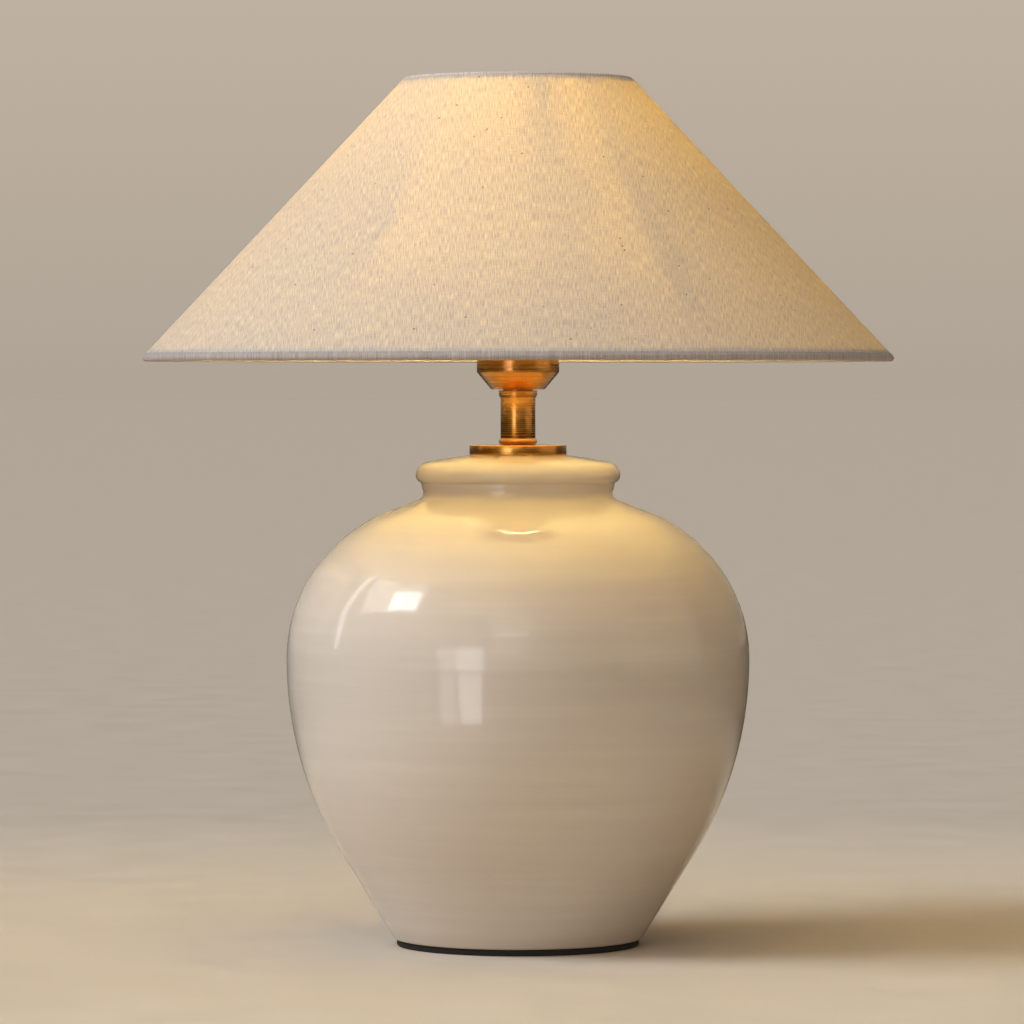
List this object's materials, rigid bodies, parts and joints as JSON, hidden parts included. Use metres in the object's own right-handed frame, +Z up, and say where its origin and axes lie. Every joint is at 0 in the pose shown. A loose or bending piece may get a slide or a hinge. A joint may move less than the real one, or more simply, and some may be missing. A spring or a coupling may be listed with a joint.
{
  "type": "table lamp",
  "caption": "Table lamp with a glazed ginger jar base, a turned brass neck and cup, and a wide linen cone shade on a dropped spider.",
  "frame": {"origin": "middle of the foot pad's underside, on the surface that the lamp stands on", "axes": "+Z up along the lamp's axis, -Y towards the front, +X to the right seen from the front; the cord bushing is at the back"},
  "size_m": [0.4521, 0.452, 0.522],
  "materials": {
    "glaze": "gloss",
    "brass": "satin",
    "steel": "satin",
    "rubber": "matte",
    "pad": "matte",
    "holder_plastic": "matte",
    "block_ceramic": "matte",
    "linen": "matte",
    "liner": "matte",
    "hem": "matte",
    "white_metal": "satin",
    "lamp_plastic": "satin",
    "lamp_dome": "matte",
    "screw_shell": "satin",
    "board": "satin",
    "chip": "gloss",
    "driver": "satin",
    "insulator": "gloss",
    "lead": "matte"
  },
  "bodies": {
    "base": {"foot_pad": "pad", "jar_body": "glaze", "cord_bushing": "rubber", "rubber_washer": "rubber", "clamp_washer": "steel", "spring_washer": "steel", "clamp_nut": "brass", "threaded_rod": "steel", "cap_plate": "brass", "stem_foot_ring": "brass", "stem_tube": "brass", "stem_top_ring": "brass", "cup_washer": "steel", "socket_cup": "brass", "holder_cap": "holder_plastic", "holder_skirt": "holder_plastic", "contact_block": "block_ceramic", "centre_contact": "brass", "side_contact": "brass", "terminal_screws": "steel", "inner_lead": "lead"},
    "shade": {"linen_cover": "linen", "shade_liner": "liner", "top_wire_ring": "white_metal", "bottom_wire_ring": "white_metal", "top_hem_roll": "hem", "bottom_hem_roll": "hem", "fitter_ring": "white_metal", "spider_arms": "white_metal"},
    "clamp_ring": {"shade_clamp_ring": "holder_plastic"},
    "lamp": {"lamp_eyelet": "screw_shell", "lamp_insulator": "insulator", "lamp_screw_shell": "screw_shell", "lamp_bowl": "lamp_plastic", "lamp_dome": "lamp_dome", "lamp_board": "board", "lamp_chips": "chip", "lamp_driver": "driver"}
  },
  "joints": [
    {"name": "shade_turn", "type": "hinge", "parent": "base", "child": "shade", "pos_m": [0, 0, 0.3753], "axis": [0, 0, 1], "continuous": true},
    {"name": "clamp_ring_turn", "type": "hinge", "parent": "base", "child": "clamp_ring", "pos_m": [0, 0, 0.3798], "axis": [0, 0, 1], "continuous": true},
    {"name": "lamp_turn", "type": "hinge", "parent": "base", "child": "lamp", "pos_m": [0, 0, 0.383], "axis": [0, 0, 1], "continuous": true}
  ]
}
